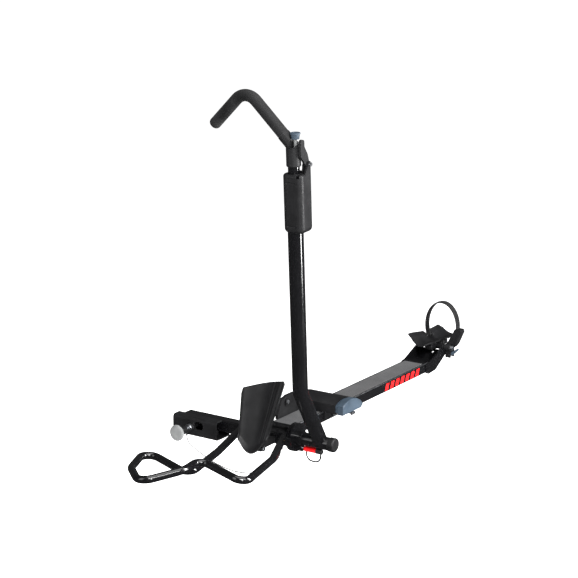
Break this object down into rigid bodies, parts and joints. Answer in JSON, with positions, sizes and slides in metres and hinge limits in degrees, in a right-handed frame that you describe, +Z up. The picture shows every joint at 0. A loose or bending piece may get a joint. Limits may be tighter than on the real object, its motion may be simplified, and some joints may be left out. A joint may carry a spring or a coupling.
{
  "type": "hitch mounted bike rack",
  "caption": "Hitch mounted bike rack for one wheel line: folding mast with a sliding hook, front wheel loop and paddle, long tray, and rear wheel cradle with a strap.",
  "frame": {"origin": "on the hitch shank's axis, where the wheel tray and the mast's pivot meet it", "axes": "+X along the tray to the rear wheel, +Y along the shank to the car, +Z up"},
  "size_m": [1.399, 0.472, 0.9969],
  "materials": {
    "black_steel": "gloss black powder coat",
    "black_alloy": "gloss black powder coat on extruded alloy",
    "cast_grey": "dark grey textured cast alloy",
    "steel": "zinc plated steel",
    "nylon_black": "satin glass filled nylon",
    "grip_tread": "mid grey grip tread",
    "rubber_black": "soft matt rubber",
    "blue_grey": "blue grey moulded plastic",
    "light_grey": "light grey moulded plastic",
    "red_grip": "red moulded plastic",
    "bronze": "plain bearing bronze",
    "cable": "clear coated wire rope"
  },
  "bodies": {
    "frame": {"hitch_shank": "black_steel", "adapter_channel": "nylon_black", "adapter_bolts": "steel", "tray_mount": "black_steel", "tray_tube": "black_alloy", "tray_tread": "grip_tread", "tray_end_plug": "nylon_black", "tray_cover": "nylon_black", "cover_screws": "steel", "latch_clip": "steel", "wheel_loop": "black_steel", "index_plate": "black_steel", "pivot_bar": "steel", "thrust_washer": "bronze", "pivot_screw": "steel", "lanyard_anchor": "black_steel", "lanyard_cable": "cable", "lanyard_ring": "steel", "scoop_bracket": "cast_grey", "scoop_bolt": "steel", "cradle_cheeks": "black_steel", "cradle_axle": "steel", "axle_nut": "steel", "axle_spacers": "nylon_black"},
    "hitch_screw": {"hitch_screw": "steel", "hitch_knob": "light_grey", "knob_neck": "nylon_black"},
    "mast": {"mast_tube": "black_steel", "pivot_sleeve": "black_steel", "pivot_bushes": "bronze", "sleeve_plate": "black_steel", "sleeve_cap": "nylon_black", "pin_guide": "black_steel", "guide_bush": "nylon_black", "housing_front": "nylon_black", "housing_rear": "nylon_black", "housing_screws": "steel", "housing_pins": "steel"},
    "lock_pin": {"lock_pin": "steel", "pin_grip": "red_grip", "pin_head": "cast_grey", "pull_ring": "black_steel"},
    "slider": {"slider_tube": "black_steel", "slider_foot": "nylon_black", "head_casting": "cast_grey", "hook_tube": "black_steel", "hook_sleeve": "rubber_black", "hook_end_cap": "rubber_black"},
    "release_button": {"release_button": "blue_grey", "button_stem": "light_grey"},
    "release_lever": {"release_lever": "cast_grey"},
    "ratchet_pawl": {"ratchet_pawl": "steel"},
    "wheel_scoop": {"wheel_scoop": "nylon_black"},
    "latch_button": {"latch_button": "blue_grey"},
    "cradle": {"wheel_saddle": "nylon_black", "ladder_strap": "rubber_black", "strap_pins": "steel", "buckle_body": "nylon_black"},
    "buckle_lever": {"buckle_lever": "blue_grey"}
  },
  "joints": [
    {"name": "mast_fold", "type": "hinge", "parent": "frame", "child": "mast", "pos_m": [0, -0.062, 0.008], "axis": [0, 1, 0], "range_deg": [-20, 80]},
    {"name": "mast_telescope", "type": "slide", "parent": "mast", "child": "slider", "axis": [-0.0523, 0, 0.9986], "range_m": [-0.01, 0.2]},
    {"name": "button_press", "type": "slide", "parent": "slider", "child": "release_button", "axis": [-0.0523, 0, 0.9986], "range_m": [-0.005, 0], "stiffness_N_per_m": 600, "springref_m": 0.002},
    {"name": "lever_squeeze", "type": "hinge", "parent": "mast", "child": "release_lever", "pos_m": [-0.10055, -0.085, 0.72533], "axis": [0, 1, 0], "range_deg": [0, 15], "stiffness_Nm_per_rad": 0.6, "springref_deg": -8.59},
    {"name": "pawl_lift", "type": "hinge", "parent": "mast", "child": "ratchet_pawl", "pos_m": [-0.09593, -0.062, 0.6735], "axis": [0, 1, 0], "range_deg": [-7.5, 0]},
    {"name": "lock_pin_pull", "type": "slide", "parent": "mast", "child": "lock_pin", "axis": [0, -1, 0], "range_m": [0, 0.012], "stiffness_N_per_m": 600, "springref_m": -0.004},
    {"name": "scoop_tilt", "type": "hinge", "parent": "frame", "child": "wheel_scoop", "pos_m": [-0.086, 0.074, -0.006], "axis": [0, 1, 0], "range_deg": [-15, 10]},
    {"name": "cradle_tilt", "type": "hinge", "parent": "frame", "child": "cradle", "pos_m": [0.804, 0.074, 0.048], "axis": [0, 1, 0], "range_deg": [-8, 8]},
    {"name": "buckle_flip", "type": "hinge", "parent": "cradle", "child": "buckle_lever", "pos_m": [0.816, 0.022, 0.027], "axis": [1, 0, 0], "range_deg": [0, 60], "stiffness_Nm_per_rad": 0.3, "springref_deg": -5.73},
    {"name": "latch_press", "type": "slide", "parent": "frame", "child": "latch_button", "axis": [0, 1, 0], "range_m": [0, 0.008], "stiffness_N_per_m": 500, "springref_m": -0.003},
    {"name": "hitch_screw_turn", "type": "hinge", "parent": "frame", "child": "hitch_screw", "pos_m": [-0.06, 0.309, -0.009], "axis": [1, 0, 0], "continuous": true}
  ],
  "couplings": [
    {"joint": "pawl_lift", "follows": "lever_squeeze", "ratio": -0.5}
  ]
}
